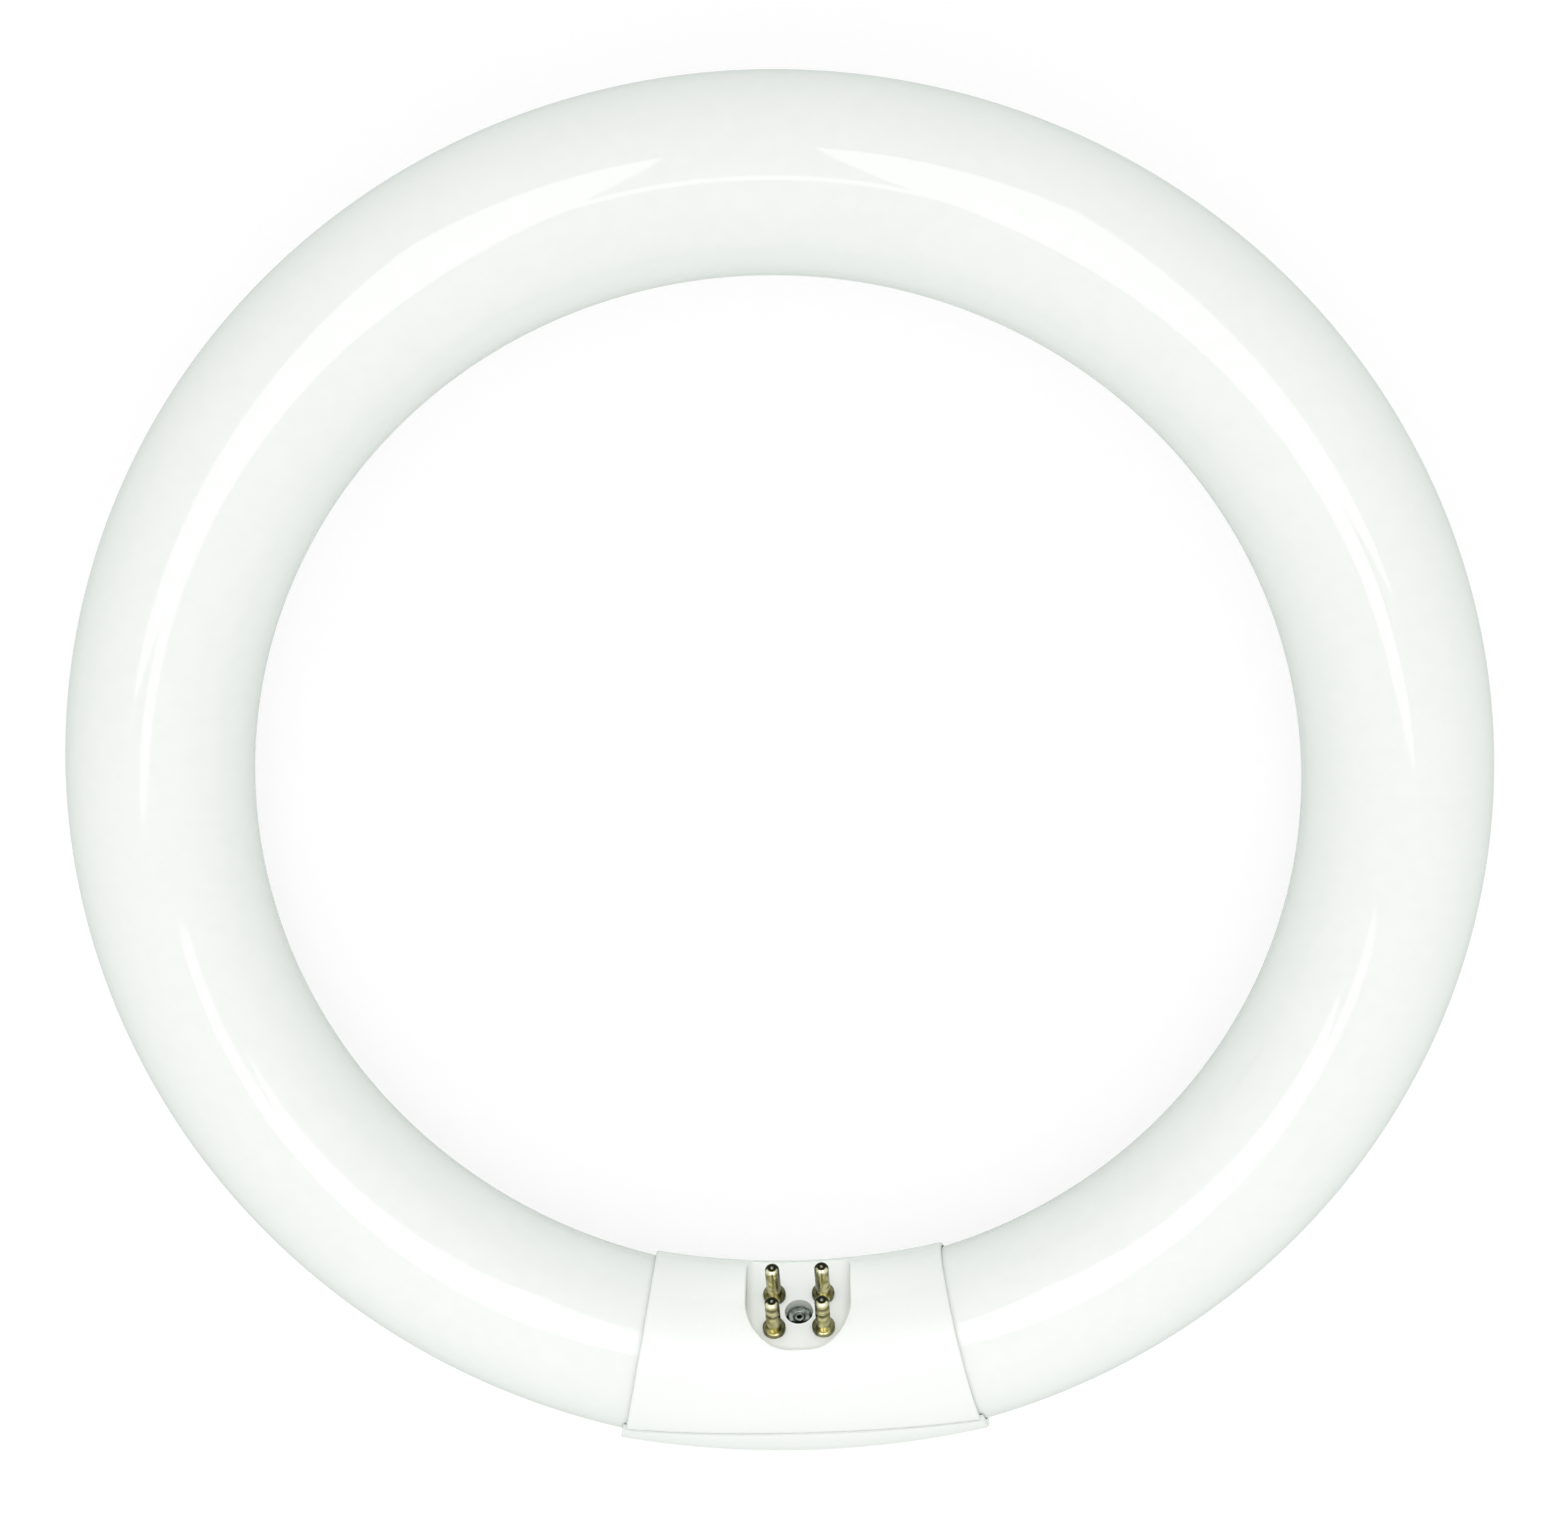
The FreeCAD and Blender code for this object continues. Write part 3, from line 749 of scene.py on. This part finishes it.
@dataclass
class ContactPins:
    """Four turned brass pins, each with its lead wire and a bead of solder in the dimple of its end."""

    frame: BaseFrame
    along: float = 0.00396
    across: float = 0.003175
    platform: float = 0.0114
    shank: float = 0.001175
    length: float = 0.0075
    tip_round: float = 0.00075
    dimple: float = 0.00035
    dimple_depth: float = 0.0004
    bore: float = 0.0005
    bore_end: float = 0.0065
    collar: float = 0.00185
    collar_height: float = 0.0009
    collar_round: float = 0.0003
    flare: float = 0.0016
    flare_height: float = 0.0005
    seat_depth: float = 0.0018
    crimps: tuple[float, ...] = (0.0043, 0.0060)
    crimp_reach: float = 0.0004
    crimp_depth: float = 0.00018
    crimp_shape: tuple[Pair, ...] = ((-1.0, 0.0), (-0.5, 0.65), (0.0, 1.0), (0.5, 0.65), (1.0, 0.0))
    turn_steps: int = 64
    round_steps: int = 6
    merge_reach: float = 0.0000001
    edge_reach: float = 0.000001
    bead_radius: float = 0.00034
    bead_rise: float = 0.00012
    bead_steps: int = 24
    solder_fresh: Colour = (0.4, 0.41, 0.37, 1.0)
    solder_aged: Colour = (0.22, 0.23, 0.2, 1.0)
    sharp_angle: float = math.radians(40.0)

    def place(self, side: Side, row: Row, height: float) -> Matrix:
        """Matrix from the axis of one pin to the part's frame.

        Args:
            side: Side of the pin.
            row: Row of the pin.
            height: Height of the new origin over the parting plane.

        Returns:
            The matrix.
        """
        foot = Vector((side.value * self.along, row.value * self.across, height))
        return self.frame.matrix() @ Matrix.Translation(foot)

    def half_section(self, row: Row) -> list[Pair]:
        """Radius and height of a pin's corners, from the end of its bore round to its dimple.

        Args:
            row: Row of the pin: the outer pins are crimped on their wires.

        Returns:
            The corners in order.
        """
        tail = -self.seat_depth - self.flare_height
        corners = [
            (0.0, self.bore_end),
            (self.bore, self.bore_end),
            (self.bore, tail),
            (self.flare, tail),
            (self.flare, -self.seat_depth),
            (self.shank, -self.seat_depth),
            (self.shank, 0.0),
            (self.collar, 0.0),
            (self.collar, self.collar_height),
            (self.shank, self.collar_height),
        ]
        if row is Row.OUTER:
            for middle in self.crimps:
                for share, sink in self.crimp_shape:
                    radius = self.shank - sink * self.crimp_depth
                    corners.append((radius, middle + share * self.crimp_reach))
        floor = self.length - self.dimple_depth
        corners += [(self.shank, self.length), (self.dimple, self.length)]
        corners += [(self.dimple, floor), (0.0, floor)]
        return corners

    def round_off(self, bm: bmesh.types.BMesh, radius: float, height: float, amount: float) -> None:
        """Rounds off one circular edge of a pin that still stands on the origin.

        Args:
            bm: Mesh of the pin.
            radius: Radius of the edge.
            height: Height of the edge.
            amount: Radius of the round.
        """

        def is_on(vert: bmesh.types.BMVert) -> bool:
            """Whether a vertex lies on the edge."""
            off = math.hypot(math.hypot(vert.co.x, vert.co.y) - radius, vert.co.z - height)
            return off < self.edge_reach

        bmesh.ops.bevel(
            bm,
            geom=[edge for edge in bm.edges if all(is_on(vert) for vert in edge.verts)],
            offset=amount,
            affect="EDGES",
            segments=self.round_steps,
            profile=0.5,
            material=-1,
        )

    def build_pin(self, side: Side, row: Row, brass: bpy.types.Material) -> bpy.types.Object:
        """Turns one pin from its half section.

        Args:
            side: Side of the pin.
            row: Row of the pin.
            brass: Its finish.

        Returns:
            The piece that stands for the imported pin.
        """
        bm = bmesh.new()
        verts = [bm.verts.new((radius, 0.0, height)) for radius, height in self.half_section(row)]
        edges = [bm.edges.new(pair) for pair in zip(verts, verts[1:])]
        bmesh.ops.spin(
            bm,
            geom=verts + edges,
            axis=(0.0, 0.0, 1.0),
            angle=2 * math.pi,
            steps=self.turn_steps,
            use_merge=True,
        )
        bmesh.ops.remove_doubles(bm, verts=bm.verts, dist=self.merge_reach)
        bmesh.ops.recalc_face_normals(bm, faces=bm.faces)
        self.round_off(bm, self.shank, self.length, self.tip_round)
        self.round_off(bm, self.collar, self.collar_height, self.collar_round)
        shade_smooth(bm, self.sharp_angle)
        bmesh.ops.transform(bm, matrix=self.place(side, row, self.platform), verts=bm.verts)
        ending = f"{side.name.lower()}_{row.name.lower()}"
        piece = finish_piece(bm, f"turned_pin_{ending}", brass)
        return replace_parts(piece, f"contact_pin_{ending}")

    def build_bead(self, side: Side, row: Row, solder: bpy.types.Material) -> bpy.types.Object:
        """Models the solder in one pin's dimple as a low dome.

        Args:
            side: Side of the pin.
            row: Row of the pin.
            solder: Its finish.

        Returns:
            The new piece.
        """
        bm = bmesh.new()
        bmesh.ops.create_uvsphere(
            bm,
            u_segments=self.bead_steps,
            v_segments=self.bead_steps // 2,
            radius=self.bead_radius,
        )
        stretch = Matrix.Diagonal((1.0, 1.0, 1.0 + self.bead_rise / self.bead_radius, 1.0))
        centre = self.place(side, row, self.platform + self.length - self.bead_radius)
        bmesh.ops.transform(bm, matrix=centre @ stretch, verts=bm.verts)
        shade_smooth(bm, self.sharp_angle)
        name = f"solder_bead_{side.name.lower()}_{row.name.lower()}"
        return finish_piece(bm, name, solder)

    def build(self) -> None:
        """Builds the pins and their solder, and dresses the wires."""
        crimps = tuple(self.platform + height for height in self.crimps)
        brass = TurnedBrass(self.frame, self.along, self.across, crimps).make()
        wire = TinnedMetal("tinned_wire").make()
        solder = TinnedMetal("pin_solder", self.solder_fresh, self.solder_aged).make()
        for side in Side:
            for row in Row:
                self.build_pin(side, row, brass)
                self.build_bead(side, row, solder)
                dress_node(f"lead_wire_{side.name.lower()}_{row.name.lower()}", wire)


@dataclass(frozen=True)
class Softbox:
    """Light panel that either shows in glossy surfaces or fills the shade on matt ones."""

    name: str
    use: Use
    centre: Triple
    aim: Triple
    width: float
    depth: float
    brightness: float
    tone: Triple = (1.0, 1.0, 1.0)
    spread: float = math.pi

    def hang(self) -> None:
        """Hangs the panel and turns it to its aim."""
        lamp = bpy.data.lights.new(self.name, "AREA")
        lamp.shape = "RECTANGLE"
        lamp.size = self.width
        lamp.size_y = self.depth
        lamp.spread = self.spread
        lamp.color = self.tone
        lamp.energy = self.brightness * math.pi * self.width * self.depth
        panel = bpy.data.objects.new(self.name, lamp)
        panel.location = self.centre
        sight = Vector(self.aim) - Vector(self.centre)
        panel.rotation_euler = sight.to_track_quat("-Z", "Y").to_euler()
        panel.visible_camera = False
        panel.visible_diffuse = self.use is Use.FILL
        panel.visible_glossy = self.use is Use.GLEAM
        bpy.context.scene.collection.objects.link(panel)


@dataclass
class Studio:
    """Floor, light and camera."""

    floor_reach: float = 4.0
    floor_height: float = -0.01463
    floor_rise: float = 0.00641
    zenith: Colour = (0.85, 0.85, 0.85, 1.0)
    horizon: Colour = (1.04, 1.04, 1.04, 1.0)
    camera_place: Triple = (0.0141384, 0.0947017, 0.3045211)
    camera_turn: Triple = (-0.2780, 0.0283, -0.0494)
    lens: float = 48.27
    sensor: float = 36.0
    clip_start: float = 0.01
    panel_height: float = 0.6
    panel_level: float = 2.3
    strip_level: float = 2.0
    gleam_tone: Triple = (1.0, 0.96, 0.97)
    base_spread: float = math.radians(20)
    platform_spread: float = math.radians(3.6)

    def lay_floor(self) -> None:
        """Lays the floor so that the base and the far side of the tube both touch it."""
        bm = bmesh.new()
        bmesh.ops.create_grid(bm, x_segments=1, y_segments=1, size=self.floor_reach)
        lean = Matrix.Rotation(math.atan(self.floor_rise), 4, "X")
        level = Matrix.Translation((0.0, 0.0, self.floor_height))
        bmesh.ops.transform(bm, matrix=level @ lean, verts=bm.verts)
        mesh = bpy.data.meshes.new("studio_floor")
        bm.to_mesh(mesh)
        bm.free()
        mesh.materials.append(PaleFloor().make())
        floor = bpy.data.objects.new("studio_floor", mesh)
        bpy.context.scene.collection.objects.link(floor)

    def light_room(self) -> None:
        """Sets a soft room, brighter at the horizon, and white to the camera and in reflections."""
        world = bpy.data.worlds.new("soft_room")
        world.use_nodes = True
        nodes = world.node_tree.nodes
        links = world.node_tree.links
        nodes.clear()
        direction = nodes.new("ShaderNodeTexCoord").outputs["Generated"]
        split = nodes.new("ShaderNodeSeparateXYZ")
        links.new(direction, split.inputs["Vector"])
        sky = nodes.new("ShaderNodeMix")
        sky.data_type = "RGBA"
        links.new(split.outputs["Z"], sky.inputs[Board.MIX_FACTOR])
        sky.inputs[Board.MIX_COLOURS[0]].default_value = self.horizon
        sky.inputs[Board.MIX_COLOURS[1]].default_value = self.zenith
        room = nodes.new("ShaderNodeBackground")
        links.new(sky.outputs[Board.MIX_RESULT], room.inputs["Color"])
        white = nodes.new("ShaderNodeBackground")
        white.inputs["Color"].default_value = WHITE
        rays = nodes.new("ShaderNodeLightPath").outputs
        seen = rays["Is Camera Ray"]
        for kind in ("Is Glossy Ray", "Is Transmission Ray"):
            either = nodes.new("ShaderNodeMath")
            either.operation = "MAXIMUM"
            links.new(seen, either.inputs[0])
            links.new(rays[kind], either.inputs[1])
            seen = either.outputs[0]
        choose = nodes.new("ShaderNodeMixShader")
        links.new(seen, choose.inputs[0])
        links.new(room.outputs["Background"], choose.inputs[1])
        links.new(white.outputs["Background"], choose.inputs[2])
        output = nodes.new("ShaderNodeOutputWorld")
        links.new(choose.outputs["Shader"], output.inputs["Surface"])
        bpy.context.scene.world = world

    def gleam(self, name: str, place: Pair, size: Pair, brightness: float) -> Softbox:
        """Level panel over the lamp that shows only in glossy surfaces.

        Args:
            name: Name of the panel.
            place: X and Y of its centre.
            size: Its width and depth.
            brightness: Its brightness.

        Returns:
            The panel, not hung yet.
        """
        return Softbox(
            name,
            Use.GLEAM,
            centre=(*place, self.panel_height),
            aim=(*place, 0.0),
            width=size[0],
            depth=size[1],
            brightness=brightness,
            tone=self.gleam_tone,
        )

    def hang_lights(self) -> None:
        """Hangs two pairs of panels with a strip between, and fills for lamp, base and platform."""
        panels = [
            self.gleam("panel_left", (-0.145, 0.11), (0.11, 0.56), self.panel_level),
            self.gleam("panel_left_end", (-0.28, 0.14), (0.16, 0.5), self.panel_level),
            self.gleam("panel_right", (0.11, 0.13), (0.14, 0.6), self.panel_level),
            self.gleam("panel_right_end", (0.25, 0.18), (0.14, 0.5), self.panel_level),
            self.gleam("panel_strip", (-0.025, 0.05), (0.13, 0.05), self.strip_level),
            Softbox(
                "overhead_fill",
                Use.FILL,
                centre=(0.0, -0.05, 0.6),
                aim=(0.0, -0.05, 0.0),
                width=0.66,
                depth=0.57,
                brightness=0.47,
            ),
            Softbox(
                "front_fill",
                Use.FILL,
                centre=(0.0, -0.45, 0.5),
                aim=(0.0, -0.1, 0.0),
                width=0.4,
                depth=0.3,
                brightness=0.85,
            ),
            Softbox(
                "base_fill",
                Use.FILL,
                centre=(0.0, 0.38, 0.46),
                aim=(0.0, -0.085, 0.0),
                width=0.2,
                depth=0.2,
                brightness=0.08,
                spread=self.base_spread,
            ),
            Softbox(
                "platform_fill",
                Use.FILL,
                centre=(0.0, 0.45, 0.25),
                aim=(0.0, -0.083, 0.0046),
                width=0.02,
                depth=0.02,
                brightness=0.165,
                spread=self.platform_spread,
            ),
        ]
        for panel in panels:
            panel.hang()

    def set_camera(self) -> None:
        """Sets the camera to the photograph's view."""
        optics = bpy.data.cameras.new("photo_view")
        optics.lens = self.lens
        optics.sensor_width = self.sensor
        optics.clip_start = self.clip_start
        camera = bpy.data.objects.new("photo_view", optics)
        camera.location = self.camera_place
        camera.rotation_euler = self.camera_turn
        bpy.context.scene.collection.objects.link(camera)
        bpy.context.scene.camera = camera

    def build(self) -> None:
        """Builds the studio."""
        bpy.context.scene.view_settings.view_transform = "Standard"
        self.lay_floor()
        self.light_room()
        self.hang_lights()
        self.set_camera()


def write_sizes() -> None:
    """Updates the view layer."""
    bpy.context.view_layer.update()


def main() -> None:
    """Builds and dresses the lamp, then the studio round it."""
    logging.basicConfig(level=logging.INFO, format="%(message)s")
    base_frame = BaseFrame()
    GlassRing().build(MilkyGlass().make())
    MouldedBase(base_frame).build()
    ContactPins(base_frame).build()
    Studio().build()
    write_sizes()


if __name__ == "__main__":
    main()
